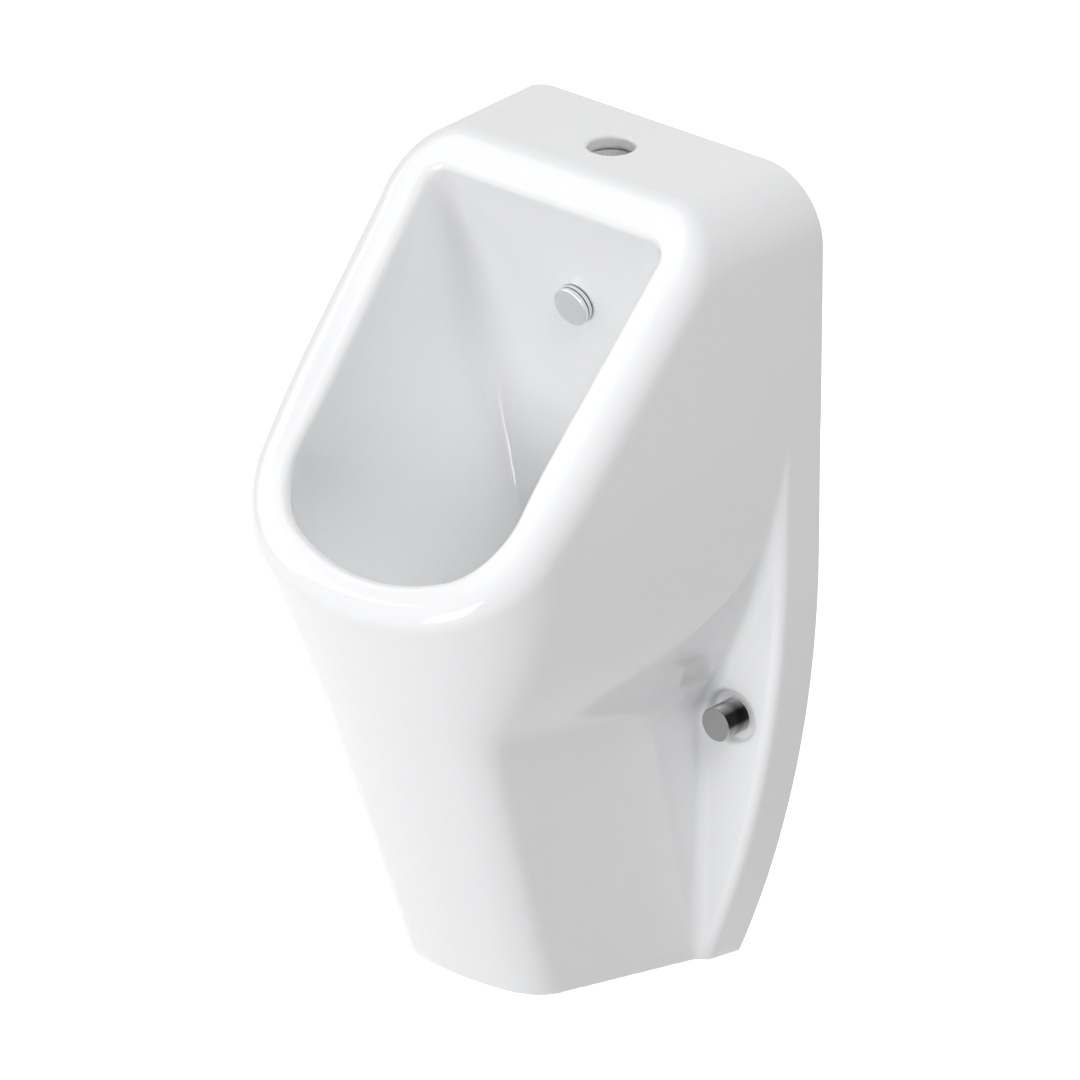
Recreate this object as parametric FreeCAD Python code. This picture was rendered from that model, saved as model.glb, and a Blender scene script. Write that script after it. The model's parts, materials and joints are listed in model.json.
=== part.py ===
import FreeCAD, Part
import math
import os

# Wall-hung urinal with a top inlet and a concealed trap.
# Millimetres.  X runs across, the front faces -Y and Z is up.  The wall is the plane y = 0, and
# the origin is the middle of the bottom edge where the back of the ceramic meets the wall.

V = FreeCAD.Vector
UP = V(0, 0, 1)
BACK = V(0, 1, 0)

# ---------------------------------------------------------------- overall ceramic form
body_width = 305.0
body_height = 640.0
top_depth = 102.0             # wall to the line where the top meets the sloping rim plane
rim_slope = 47.0              # degrees below horizontal
underside_rise = 10.0         # degrees that the underside and every cross-section rise forward
top_corner_radius = 53.0
shell = 11.0                  # thickness of the outer skin
rim_thickness = 14.0

# ---------------------------------------------------------------- bowl belly and trap housing
belly_top = 475.0             # height at the wall where the flanks start to draw in
waist = 220.0                 # height at the wall where the belly meets the trap housing
belly_power = 2.5             # how late the flank turns in
flank_angle = 2.0             # degrees that the flanks close to the front
waist_blend = 24.0            # height over which belly and housing run into each other
housing_width = 160.0
housing_foot_width = 154.0
housing_foot_angle = 3.0      # degrees that the sides close to the front at the foot
depth_at_foot = 221.0
depth_at_waist = 306.0
depth_at_belly_top = 408.0
bowl_corner_radius = 104.0
housing_corner_radius = 34.0
bowl_front_radius = 250.0
housing_front_radius = 165.0
station_step = 30.0
behind_wall = 20.0            # solids are drawn this far past the wall, then cut at it

# ---------------------------------------------------------------- side flanges at the wall
flange_depth = 40.0
flange_inset = 0.4            # the flange side lies this far inside the flank above it
flange_foot_width = 160.0
flange_straight_from = 350.0  # height above which the flange side is upright
flange_top = 520.0
flange_edge_radius = 8.0
flange_root_radius = 10.0

# ---------------------------------------------------------------- rim and opening
rim_outer_radius = 20.0

# ---------------------------------------------------------------- bowl inside
rear_wall_back = 80.0         # wall plane to the rearmost line of the bowl's back
rear_wall_drop = 200.0        # top of the ceramic to that line
rear_wall_level = body_height - rear_wall_drop
rear_wall_radius = 394.0      # the back's arc above that line
rear_floor_depth = 125.6      # wall plane to the bowl's back at its floor
rear_half_top = 110.0         # half width of the bowl's back near the top of the opening
rear_half_drop = 65.0         # top of the ceramic to where the back starts to narrow
rear_half_level = body_height - rear_half_drop
rear_half_power = 1.62        # how late it narrows
bowl_middle = 165.0           # wall plane to the middle of the bowl floor
bowl_level = 430.0            # height where the bowl is fullest
bowl_reach = 158.0            # bowl middle to the front wall at that height
bowl_half = 101.0             # half width at that height
bowl_flare = 0.03             # widening of the half width per millimetre above it
bowl_front_rake = 0.38        # forward lean of the front wall above it
bowl_floor = 256.0
bowl_curve_end = 248.0        # where the curved floor would close if it were not flat
bowl_wall = 10.0
bowl_rear_corner = 14.0
bowl_front_corner = 56.0
bowl_front_arc = 190.0
bowl_step = 26.0
bowl_undercut = 4.0
least_back_half = 10.0
bowl_flank_share = 0.6
bowl_corner_share = 0.6
bowl_arc_share = 1.3

# ---------------------------------------------------------------- openings in the ceramic
inlet_bore = 35.0
inlet_depth = 54.0            # wall to the inlet's axis
inlet_lip_radius = 1.5
fixing_from_side = 47.5
fixing_spacing = body_width - 2 * fixing_from_side
fixing_level = 215.0
fixing_hole = 16.0
fixing_recess = 40.0
fixing_recess_depth = 7.0
fixing_recess_radius = 3.0
fixing_pad = 56.0
drain_seat = 250.0            # height of the flat seat round the waste hole
drain_seat_width = 80.0
drain_hole = 52.0
drain_boss_width = 96.0
drain_boss_under = 232.0
nozzle_drop = 110.0           # top of the ceramic to the nozzle's middle
nozzle_level = body_height - nozzle_drop
nozzle_hole = 23.0
nozzle_spot = 38.0            # flat spot on the back of the bowl for the nozzle's nut
nozzle_wall = 9.0             # ceramic left between the bowl and that spot

# ---------------------------------------------------------------- fits shared by the fittings
slip = 0.3                    # radial room where one round piece passes through another
seat_gap = 0.3                # room between pieces that move apart

# ---------------------------------------------------------------- spray nozzle and inlet
nozzle_width = 29.5
nozzle_face_thickness = 3.2
nozzle_edge_radius = 0.8
nozzle_slot = 1.2             # gap that the water leaves through
nozzle_arms = 3
nozzle_flange = 3.0
nozzle_seal_thickness = 1.2
nozzle_thread = 21.0
nozzle_bore = 15.0
nozzle_shank = 30.0           # thread length behind the bowl's face
nozzle_stem = 5.0
nozzle_hub = 9.0
nozzle_web = 4.0              # depth of the arms that hold the stem
nozzle_arm_width = 2.0
back_washer_width = 32.0
back_washer_thickness = 2.5
nozzle_nut_flats = 30.0
nozzle_nut_thickness = 8.0
elbow_width = 28.0
elbow_bore = 16.0
elbow_rise = 34.0             # elbow centre to its upper end
elbow_nut_gap = 1.0
union_sides = 8
union_width = 46.0
union_height = 18.0
sleeve_width = 44.0
sleeve_wall = 3.4
inlet_ring = 3.0
lip_seal_height = 8.0
lip_seal_bore = 31.0

# ---------------------------------------------------------------- waste and trap
waste_width = 50.0
waste_wall = 3.0
waste_flange = 76.0
waste_flange_thickness = 3.0
waste_seal_thickness = 2.0
waste_end = 160.0             # height of the waste tube's lower end
waste_nut_width = 76.0
waste_nut_height = 10.0
strainer_width = 70.0
strainer_thickness = 2.0
strainer_hole = 4.5
strainer_ring_step = 6.6      # between the rings of holes
strainer_first_ring = 10.0    # radius of the inmost ring
strainer_knob_radius = 8.0
strainer_knob_height = 5.0
strainer_leg = 18.0
strainer_leg_wall = 1.5
strainer_slots = 3
trap_width = 92.0
trap_wall = 3.0
trap_top = 150.0
trap_bottom = 96.0
trap_neck_width = 58.0
trap_neck_top = 185.7
trap_dip_end = 72.0
trap_cup_bottom = 44.0
trap_cup_width = 84.0
trap_cup_foot_radius = 12.0
trap_cup_insert = 10.0        # height of the cup inside the trap's body
trap_cup_collar = 10.0
trap_cup_seal_height = 2.0
trap_cup_ribs = 12
trap_socket_step = 3.0        # ledge below the waste tube's end
trap_nut_sides = 12
trap_nut_width = 68.0
trap_nut_height = 20.0
trap_seal_height = 4.0
outlet_level = 124.0
outlet_width = 50.0
outlet_stub_end = 104.0       # wall to the end of the trap's own outlet
outlet_past_wall = 50.0
outlet_nut_width = 66.0
outlet_socket = 14.0          # how far the pipe enters the trap's outlet
outlet_nut_grip = 12.0        # length of the nut over the trap's outlet
collar_width = 62.0
collar_flange = 74.0
collar_flange_thickness = 5.0
collar_in_wall = 25.0

# ---------------------------------------------------------------- wall fixings
stud_width = 10.0
stud_front = 49.0             # wall to the stud's front end
stud_in_wall = 32.0
stud_chamfer = 1.0
anchor_width = 12.0           # short drop-in anchor
anchor_length = 30.0
anchor_slit = 1.2
wall_gap = 1.0                # sleeves and anchors stop this far from the wall plane
sleeve_flange = 26.0
sleeve_flange_thickness = 2.5
washer_width = 21.0
washer_thickness = 1.7
nut_flats = 17.0
nut_thickness = 8.0
cap_width = 26.0
cap_wall = 1.5
cap_front = 58.0
cap_edge_radius = 1.2


def unit(x, y):
    size = math.hypot(x, y)
    return x / size, y / size


def arc_between(start, centre, end):
    """Arc in the plane z = 0 from start to end about centre, by its shorter side."""
    radius = math.hypot(start[0] - centre[0], start[1] - centre[1])
    a = unit(start[0] - centre[0], start[1] - centre[1])
    b = unit(end[0] - centre[0], end[1] - centre[1])
    m = unit(a[0] + b[0], a[1] + b[1])
    middle = V(centre[0] + radius * m[0], centre[1] + radius * m[1], 0)
    return Part.Arc(V(start[0], start[1], 0), middle, V(end[0], end[1], 0)).toShape()


def line_between(start, end):
    return Part.LineSegment(V(start[0], start[1], 0), V(end[0], end[1], 0)).toShape()


def bowed_outline(rear, half, rear_corner, side_angle, front, front_corner, front_radius):
    """Symmetric closed outline in z = 0: a straight back at y = rear, two sides that close by
    side_angle degrees to the front, corner arcs, and a front arc that reaches y = front."""
    slope = math.radians(side_angle)
    along = (-math.sin(slope), -math.cos(slope))
    inward = (-math.cos(slope), math.sin(slope))
    # front corner arc, tangent to the side and inside the front arc
    base = (half + front_corner * inward[0], rear + front_corner * inward[1])
    arc_centre = (0.0, front + front_radius)
    qx = base[0] - arc_centre[0]
    qy = base[1] - arc_centre[1]
    dot = qx * along[0] + qy * along[1]
    reach = -dot + math.sqrt(dot ** 2 - qx ** 2 - qy ** 2 + (front_radius - front_corner) ** 2)
    corner = (base[0] + reach * along[0], base[1] + reach * along[1])
    side_end = (corner[0] - front_corner * inward[0], corner[1] - front_corner * inward[1])
    out = unit(corner[0] - arc_centre[0], corner[1] - arc_centre[1])
    front_end = (arc_centre[0] + front_radius * out[0], arc_centre[1] + front_radius * out[1])
    if rear_corner > 0:
        run = rear_corner * (1 + math.sin(slope)) / math.cos(slope)
        rear_x = half + rear_corner * inward[0] + run * along[0]
        rear_y = rear + rear_corner * inward[1] + run * along[1]
        back_end = (rear_x, rear)
        side_start = (rear_x - rear_corner * inward[0], rear_y - rear_corner * inward[1])
        rear_centre = (rear_x, rear_y)
    else:
        back_end = (half, rear)
        side_start = back_end

    def mirror(p):
        return (-p[0], p[1])

    edges = [line_between(mirror(back_end), back_end)]
    if rear_corner > 0:
        edges.append(arc_between(back_end, rear_centre, side_start))
    edges.append(line_between(side_start, side_end))
    edges.append(arc_between(side_end, corner, front_end))
    edges.append(Part.Arc(V(front_end[0], front_end[1], 0), V(0, front, 0),
                          V(-front_end[0], front_end[1], 0)).toShape())
    edges.append(arc_between(mirror(front_end), mirror(corner), mirror(side_end)))
    edges.append(line_between(mirror(side_end), mirror(side_start)))
    if rear_corner > 0:
        edges.append(arc_between(mirror(side_start), mirror(rear_centre), mirror(back_end)))
    return Part.Wire(edges)


# ---------------------------------------------------------------- outer skin
def depth_at(level):
    """Front of the skin on the middle plane: one curve through three named depths."""
    level = min(level, belly_top)
    a = (level - waist) * (level - belly_top) / (waist * belly_top)
    b = level * (level - belly_top) / (waist * (waist - belly_top))
    c = level * (level - waist) / (belly_top * (belly_top - waist))
    return depth_at_foot * a + depth_at_waist * b + depth_at_belly_top * c


def belly_share(level):
    """1 where the bowl has its full width, 0 in the trap housing, with a soft waist between."""
    drop = (belly_top - level) / (belly_top - waist)
    if drop <= 0:
        return 1.0
    share = 1 - drop ** belly_power
    soft = waist_blend / (belly_top - waist)
    full = 1 + math.sqrt(1 + soft ** 2)
    return (share + math.sqrt(share ** 2 + soft ** 2)) / full


def skin_wire(level, inset):
    share = belly_share(level)
    housing = housing_foot_width + (housing_width - housing_foot_width) * level / waist
    housing = min(housing, housing_width)
    half = (housing + (body_width - housing) * share) / 2
    corner = housing_corner_radius + (bowl_corner_radius - housing_corner_radius) * share
    front_radius = housing_front_radius + (bowl_front_radius - housing_front_radius) * share
    side_angle = housing_foot_angle * (1 - min(1.0, max(0.0, level) / waist)) + flank_angle * share
    rise = math.radians(underside_rise)
    front = -(depth_at(level) - inset) / math.cos(rise)
    half += behind_wall * math.tan(math.radians(side_angle))
    wire = bowed_outline(behind_wall, half - inset, 0.0, side_angle, front,
                         corner - inset, front_radius - inset)
    wire.rotate(V(0, 0, 0), V(1, 0, 0), -underside_rise)
    wire.translate(V(0, 0, level))
    return wire


def skin_loft(inset):
    count = int((body_height + 3 * station_step) // station_step)
    wires = [skin_wire(-station_step + i * station_step, inset) for i in range(count + 2)]
    return Part.makeLoft(wires, True, False)


def front_outline_prism(half, top, corner, near, far):
    """Solid behind a front view outline with rounded top corners, from y = near to y = far."""
    left = V(-half, near, -station_step)
    right = V(half, near, -station_step)
    right_top = V(half, near, top - corner)
    left_top = V(-half, near, top - corner)
    turn = corner * math.sqrt(0.5)
    right_arc = Part.Arc(right_top, V(half - corner + turn, near, top - corner + turn),
                         V(half - corner, near, top)).toShape()
    left_arc = Part.Arc(V(corner - half, near, top),
                        V(corner - half - turn, near, top - corner + turn), left_top).toShape()
    top_line = Part.LineSegment(V(half - corner, near, top), V(corner - half, near, top)).toShape()
    wire = Part.Wire([Part.LineSegment(left, right).toShape(),
                      Part.LineSegment(right, right_top).toShape(),
                      right_arc, top_line, left_arc,
                      Part.LineSegment(left_top, left).toShape()])
    return Part.Face(wire).extrude(V(0, far - near, 0))


def flange_wire(inset, y):
    """The side flanges seen from the front: upright above, closing to the foot along an arc."""
    half = body_width / 2 - flange_inset
    step = half - flange_foot_width / 2
    sweep = (flange_straight_from ** 2 + step ** 2) / (2 * step)
    radius = sweep - inset
    low = math.asin((flange_straight_from + station_step) / sweep)
    draft = y * math.tan(math.radians(flank_angle))
    centre_x = half - sweep + draft

    def on_arc(angle):
        return V(centre_x + radius * math.cos(angle), y, flange_straight_from - radius * math.sin(angle))

    def flip(p):
        return V(-p.x, p.y, p.z)

    start = on_arc(0)
    middle = on_arc(low / 2)
    end = on_arc(low)
    right_top = V(start.x, y, flange_top - inset)
    return Part.Wire([Part.LineSegment(flip(end), end).toShape(),
                      Part.Arc(end, middle, start).toShape(),
                      Part.LineSegment(start, right_top).toShape(),
                      Part.LineSegment(right_top, flip(right_top)).toShape(),
                      Part.LineSegment(flip(right_top), flip(start)).toShape(),
                      Part.Arc(flip(start), flip(middle), flip(end)).toShape()])


def flange_block(inset, front):
    return Part.makeLoft([flange_wire(inset, behind_wall), flange_wire(inset, front)], True, True)


def above_slope(height, start_depth, slope, reach):
    """Everything above a plane that falls forward from (y = -start_depth, z = height)."""
    wide = 2 * body_width
    angle = math.radians(slope)
    run = V(0, -math.cos(angle), -math.sin(angle))
    up = V(0, -math.sin(angle), math.cos(angle))
    corner = V(-wide / 2, -start_depth, height) - run * reach
    far = corner + run * (3 * reach)
    wire = Part.makePolygon([corner, far, far + up * (2 * reach), corner + up * (2 * reach), corner])
    return Part.Face(wire).extrude(V(wide, 0, 0))


def below_underside():
    wide = 2 * body_width
    rise = math.tan(math.radians(underside_rise))
    deep = 2 * depth_at_belly_top
    wire = Part.makePolygon([V(-wide / 2, deep, -deep * rise), V(-wide / 2, -deep, deep * rise),
                             V(-wide / 2, -deep, -deep), V(-wide / 2, deep, -deep),
                             V(-wide / 2, deep, -deep * rise)])
    return Part.Face(wire).extrude(V(wide, 0, 0))


# ---------------------------------------------------------------- bowl inside
def rear_wall_y(level):
    """The bowl's back in side view: two large arcs that run into each other where it is rearmost."""
    rise = level - rear_wall_level
    radius = rear_wall_radius
    if rise < 0:
        fall = rear_wall_level - bowl_floor
        lean = rear_floor_depth - rear_wall_back
        radius = (fall ** 2 + lean ** 2) / (2 * lean)
    return -(rear_wall_back + radius - math.sqrt(radius ** 2 - rise ** 2))


def bowl_wire(level, grow):
    """Horizontal section of the bowl's inside, or of its outside when grown by its wall."""
    above = max(0.0, level - bowl_level)
    fall = max(0.0, bowl_level - level) / (bowl_level - bowl_curve_end)
    swell = math.sqrt(1 - fall ** 2)
    rear = rear_wall_y(level)
    front = -(bowl_middle + bowl_reach * swell + above * bowl_front_rake)
    widest = bowl_half * swell + above * bowl_flare
    narrowing = max(0.0, rear_half_level - level) / (rear_half_level - bowl_curve_end)
    rear_half = rear_half_top * (1 - narrowing ** rear_half_power) + least_back_half
    rear_half = min(rear_half, widest + bowl_undercut)
    side_angle = -math.degrees(math.atan2(widest - rear_half, bowl_flank_share * (rear - front)))
    corner = min(bowl_front_corner, bowl_corner_share * widest)
    arc = max(bowl_front_arc * swell, bowl_arc_share * widest)
    back_corner = min(bowl_rear_corner, bowl_corner_share * rear_half)
    wire = bowed_outline(rear + grow, rear_half + grow, back_corner + grow, side_angle,
                         front - grow, corner + grow, arc + grow)
    lower = grow * max(0.0, 1 - (level - bowl_floor) / (bowl_level - bowl_floor))
    wire.translate(V(0, 0, level - lower))
    return wire


def bowl_loft(grow):
    count = int(math.ceil((body_height + grow - bowl_floor) / bowl_step)) + 1
    wires = [bowl_wire(bowl_floor + i * bowl_step, grow) for i in range(count)]
    return Part.makeLoft(wires, True, False)


# ---------------------------------------------------------------- ceramic
def middle_of(edge):
    return edge.valueAt((edge.FirstParameter + edge.LastParameter) / 2)


def rounded_flange():
    block = flange_block(0, -flange_depth)
    front = [e for e in block.Edges if abs(middle_of(e).y + flange_depth) < 0.01]
    sides = [e for e in front if abs(middle_of(e).x) > flange_foot_width / 4]
    return block.makeFillet(flange_edge_radius, sides)


def ceramic_outer():
    skin = skin_loft(0)
    block = front_outline_prism(body_width / 2 + 1, body_height, top_corner_radius + 1,
                                behind_wall, -body_height)
    skin = skin.common(block)
    skin = skin.cut(above_slope(body_height, top_depth, rim_slope, body_height))
    skin = skin.fuse(rounded_flange())
    wall = Part.makeBox(2 * body_width, 2 * behind_wall, 3 * body_height,
                        V(-body_width, 0, -body_height))
    return skin.cut(wall).cut(below_underside()).removeSplitter()


def ceramic_service_space():
    skin = skin_loft(shell)
    block = front_outline_prism(body_width / 2 - shell + 1, body_height - shell,
                                top_corner_radius - shell + 1, behind_wall, -body_height)
    skin = skin.common(block)
    depth = top_depth - rim_thickness * math.tan(math.radians(rim_slope / 2))
    skin = skin.cut(above_slope(body_height - rim_thickness, depth, rim_slope, body_height))
    return skin.fuse(flange_block(shell, shell - flange_depth))


def rim_face(shape):
    """The flat sloping face round the opening."""
    flats = [f for f in shape.Faces if f.Surface.TypeId == "Part::GeomPlane"]
    sloping = [f for f in flats if f.normalAt(0, 0).z > 0.3 and f.normalAt(0, 0).y < -0.3]
    return max(sloping, key=lambda f: f.Area)


def flange_root_edges(shape):
    """Long edges where the flanges' fronts meet the flanks and the flanges' own rounding."""
    chosen = []
    for edge in shape.Edges:
        m = middle_of(edge)
        bent = "BSpline" in edge.Curve.TypeId
        at_flange = -flange_depth - 1 < m.y < 0 and m.z < belly_top
        if bent and at_flange and abs(m.x) < body_width / 2 - 0.5 and edge.Length > 100:
            chosen.append(edge)
    return chosen


def nozzle_place(shape):
    """Carry a fitting drawn about the Y axis to the nozzle's seat on the bowl's back."""
    lean = math.degrees(math.asin((nozzle_level - rear_wall_level) / rear_wall_radius))
    placed = shape.copy()
    placed.rotate(V(0, 0, 0), V(1, 0, 0), lean)
    placed.translate(V(0, rear_wall_y(nozzle_level), nozzle_level))
    return placed


def tube(x, y, z, axis, outer, inner, length):
    """Round tube or ring by its widths, from (x, y, z) along axis."""
    solid = Part.makeCylinder(outer / 2, length, V(x, y, z), axis)
    if inner > 0:
        solid = solid.cut(Part.makeCylinder(inner / 2, length, V(x, y, z), axis))
    return solid


def prism_nut(x, y, z, axis, flats, bore, length, sides=6):
    """Nut by the distance across its flats."""
    radius = flats / 2 / math.cos(math.pi / sides)
    points = []
    for i in range(sides + 1):
        turn = 2 * math.pi * (i + 0.5) / sides
        if axis.z > 0.5:
            points.append(V(x + radius * math.cos(turn), y + radius * math.sin(turn), z))
        else:
            points.append(V(x + radius * math.cos(turn), y, z + radius * math.sin(turn)))
    body = Part.Face(Part.makePolygon(points)).extrude(axis * length)
    return body.cut(Part.makeCylinder(bore / 2, length, V(x, y, z), axis))


def ceramic_body():
    outer = ceramic_outer()
    outer = outer.makeFillet(rim_outer_radius, rim_face(outer).OuterWire.Edges)
    outer = outer.makeFillet(flange_root_radius, flange_root_edges(outer))
    hollow = ceramic_service_space().cut(bowl_loft(bowl_wall))
    hollow = hollow.cut(tube(0, -bowl_middle, drain_boss_under, UP, drain_boss_width, 0,
                             bowl_floor - drain_boss_under))
    for side in (-1, 1):
        x = side * fixing_spacing / 2
        hollow = hollow.cut(tube(x, -flange_depth, fixing_level, BACK, fixing_pad, 0, flange_depth))
    body = outer.cut(bowl_loft(0)).cut(hollow)
    for side in (-1, 1):
        x = side * fixing_spacing / 2
        body = body.cut(tube(x, -2 * flange_depth, fixing_level, BACK, fixing_hole, 0,
                             3 * flange_depth))
        recess = tube(x, -2 * flange_depth, fixing_level, BACK, fixing_recess, 0,
                      flange_depth + fixing_recess_depth)
        floor = [e for e in recess.Edges if e.Curve.TypeId == "Part::GeomCircle"
                 and e.Curve.Center.y > -flange_depth]
        body = body.cut(recess.makeFillet(fixing_recess_radius, floor))
    body = body.cut(tube(0, -inlet_depth, body_height - 3 * shell, UP, inlet_bore, 0, 4 * shell))
    body = body.cut(tube(0, -bowl_middle, drain_seat, UP, drain_seat_width, 0, 2 * shell))
    body = body.cut(tube(0, -bowl_middle, drain_boss_under - shell, UP, drain_hole, 0, 4 * shell))
    body = body.cut(nozzle_place(tube(0, -shell, 0, BACK, nozzle_hole, 0, 4 * shell)))
    body = body.cut(nozzle_place(tube(0, -shell, 0, BACK, nozzle_width + 2 * slip, 0, shell)))
    body = body.cut(nozzle_place(tube(0, nozzle_wall, 0, BACK, nozzle_spot, 0, 2 * shell)))
    circles = [e for e in body.Edges if e.Curve.TypeId == "Part::GeomCircle"]
    at_top = [e for e in circles if abs(e.Curve.Center.z - body_height) < 0.01]
    return body.makeFillet(inlet_lip_radius, at_top)


# ---------------------------------------------------------------- spray nozzle and inlet
def nozzle_parts():
    flange_back = -nozzle_seal_thickness
    flange_front = flange_back - nozzle_flange
    face_back = flange_front - nozzle_slot
    face_front = face_back - nozzle_face_thickness
    thread_bore = nozzle_thread + slip

    seal = tube(0, flange_back, 0, BACK, nozzle_width - 2, thread_bore, nozzle_seal_thickness)
    body = tube(0, flange_front, 0, BACK, nozzle_width, 0, nozzle_flange)
    body = body.fuse(tube(0, flange_back, 0, BACK, nozzle_thread, 0, nozzle_shank - flange_back))
    body = body.cut(tube(0, flange_front, 0, BACK, nozzle_bore, 0, nozzle_shank - flange_front))
    hub = tube(0, 0, 0, BACK, nozzle_hub, 0, nozzle_web)
    span = (nozzle_bore + nozzle_thread) / 2
    for i in range(nozzle_arms):
        arm = Part.makeBox(span, nozzle_web, nozzle_arm_width, V(-span / 2, 0, -nozzle_arm_width / 2))
        arm.rotate(V(0, 0, 0), BACK, 180 * i / nozzle_arms)
        hub = hub.fuse(arm)
    body = body.fuse(hub)
    body = body.cut(tube(0, 0, 0, BACK, nozzle_stem + slip, 0, nozzle_web)).removeSplitter()

    face = tube(0, face_front, 0, BACK, nozzle_width, 0, nozzle_face_thickness)
    rims = [e for e in face.Edges if e.Curve.TypeId == "Part::GeomCircle"]
    face = face.makeFillet(nozzle_edge_radius, rims)
    face = face.fuse(tube(0, face_back, 0, BACK, nozzle_stem, 0, nozzle_web - face_back))
    clip = Part.makeCone(nozzle_stem / 2 + slip, nozzle_stem / 2 - slip, nozzle_stem / 2,
                         V(0, nozzle_web, 0), BACK)
    face = face.fuse(clip)

    washer = tube(0, nozzle_wall, 0, BACK, back_washer_width, thread_bore, back_washer_thickness)
    nut = prism_nut(0, nozzle_wall + back_washer_thickness, 0, BACK, nozzle_nut_flats, thread_bore,
                    nozzle_nut_thickness)
    return {"nozzle_seal": nozzle_place(seal), "nozzle_body": nozzle_place(body),
            "nozzle_face": nozzle_place(face), "nozzle_back_washer": nozzle_place(washer),
            "nozzle_nut": nozzle_place(nut)}


def inlet_parts():
    lean = math.asin((nozzle_level - rear_wall_level) / rear_wall_radius)
    reach = (-inlet_depth - rear_wall_y(nozzle_level)) / math.cos(lean)
    centre_z = nozzle_level + reach * math.sin(lean)
    y = -inlet_depth
    start = nozzle_wall + back_washer_thickness + nozzle_nut_thickness + elbow_nut_gap
    top = centre_z + elbow_rise

    elbow = nozzle_place(tube(0, start, 0, BACK, elbow_width, 0, reach - start))
    elbow = elbow.fuse(Part.makeSphere(elbow_width / 2, V(0, y, centre_z)))
    elbow = elbow.fuse(tube(0, y, centre_z, UP, elbow_width, 0, elbow_rise))
    elbow = elbow.cut(nozzle_place(tube(0, start, 0, BACK, nozzle_thread + slip, 0,
                                        nozzle_shank + slip - start)))
    elbow = elbow.cut(nozzle_place(tube(0, start, 0, BACK, elbow_bore, 0, reach - start)))
    elbow = elbow.cut(Part.makeSphere(elbow_bore / 2, V(0, y, centre_z)))
    elbow = elbow.cut(tube(0, y, centre_z, UP, elbow_bore, 0, elbow_rise))

    ring_base = top - union_height / 2
    lower_in = elbow_width + 2 * slip
    lower_out = lower_in + 2 * sleeve_wall
    cup_in = sleeve_width - 2 * sleeve_wall
    sleeve_top = body_height - shell - seat_gap
    sleeve_base = ring_base + inlet_ring
    shoulder = sleeve_top - sleeve_width
    sleeve = tube(0, y, sleeve_base, UP, lower_out, 0, shoulder - sleeve_base)
    sleeve = sleeve.fuse(tube(0, y, shoulder, UP, sleeve_width, 0, sleeve_top - shoulder))
    sleeve = sleeve.cut(tube(0, y, sleeve_base, UP, lower_in, 0, sleeve_top - sleeve_base))
    sleeve = sleeve.cut(tube(0, y, shoulder + sleeve_wall, UP, cup_in, 0, sleeve_top - shoulder))
    lip_seal = tube(0, y, shoulder + sleeve_wall, UP, cup_in, lip_seal_bore, lip_seal_height)
    lip_seal = lip_seal.cut(tube(0, y, shoulder + sleeve_wall + lip_seal_height / 3, UP,
                                 (cup_in + lip_seal_bore) / 2, 0, lip_seal_height / 3))

    ring = tube(0, y, ring_base, UP, lower_out, elbow_width + slip, inlet_ring)
    nut_base = ring_base - sleeve_wall
    nut = prism_nut(0, y, nut_base, UP, union_width, elbow_width + 2 * slip, union_height, union_sides)
    nut = nut.cut(tube(0, y, ring_base, UP, lower_out + 2 * slip, 0, union_height))
    return {"inlet_elbow": elbow, "inlet_sleeve": sleeve, "inlet_lip_seal": lip_seal,
            "inlet_union_ring": ring, "inlet_union_nut": nut}


# ---------------------------------------------------------------- waste and trap
def waste_parts():
    y = -bowl_middle
    flange_base = drain_seat + waste_seal_thickness
    flange_top = flange_base + waste_flange_thickness
    bore = waste_width - 2 * waste_wall
    top_seal = tube(0, y, drain_seat, UP, waste_flange, drain_hole, waste_seal_thickness)
    flange = tube(0, y, flange_base, UP, waste_flange, 0, waste_flange_thickness)
    flange = flange.fuse(tube(0, y, waste_end, UP, waste_width, 0, flange_base - waste_end))
    flange = flange.cut(tube(0, y, waste_end, UP, bore, 0, flange_top - waste_end))
    under = drain_boss_under - waste_seal_thickness
    bottom_seal = tube(0, y, under, UP, waste_nut_width - 4, waste_width + slip,
                       waste_seal_thickness)
    nut = prism_nut(0, y, under - waste_nut_height, UP, waste_nut_width, waste_width + slip,
                    waste_nut_height, 8)

    strainer = tube(0, y, flange_top, UP, strainer_width, 0, strainer_thickness)
    knob = Part.makeSphere(strainer_knob_radius,
                           V(0, y, flange_top + strainer_knob_height - strainer_knob_radius))
    strainer = strainer.fuse(knob.common(tube(0, y, flange_top, UP, strainer_width, 0,
                                              strainer_knob_height)))
    leg_width = bore - 2 * slip
    leg_bore = leg_width - 2 * strainer_leg_wall
    room = (leg_bore - strainer_hole) / 2 - strainer_first_ring
    for ring in range(int(room // strainer_ring_step) + 1):
        radius = strainer_first_ring + ring * strainer_ring_step
        count = 6 * (ring + 1) + 2
        for i in range(count):
            turn = 2 * math.pi * i / count
            strainer = strainer.cut(tube(radius * math.cos(turn), y + radius * math.sin(turn),
                                         flange_top, UP, strainer_hole, 0, strainer_thickness))
    legs = tube(0, y, flange_top - strainer_leg, UP, leg_width, leg_bore, strainer_leg)
    slot_width = leg_width / 4
    for i in range(strainer_slots):
        slot = Part.makeBox(bore, slot_width, strainer_leg, V(-bore / 2, -slot_width / 2, 0))
        slot.rotate(V(0, 0, 0), UP, 180 * i / strainer_slots)
        slot.translate(V(0, y, flange_top - strainer_leg))
        legs = legs.cut(slot)
    strainer = strainer.fuse(legs)
    return {"waste_top_seal": top_seal, "waste_flange": flange, "waste_bottom_seal": bottom_seal,
            "waste_nut": nut, "strainer": strainer}


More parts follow.
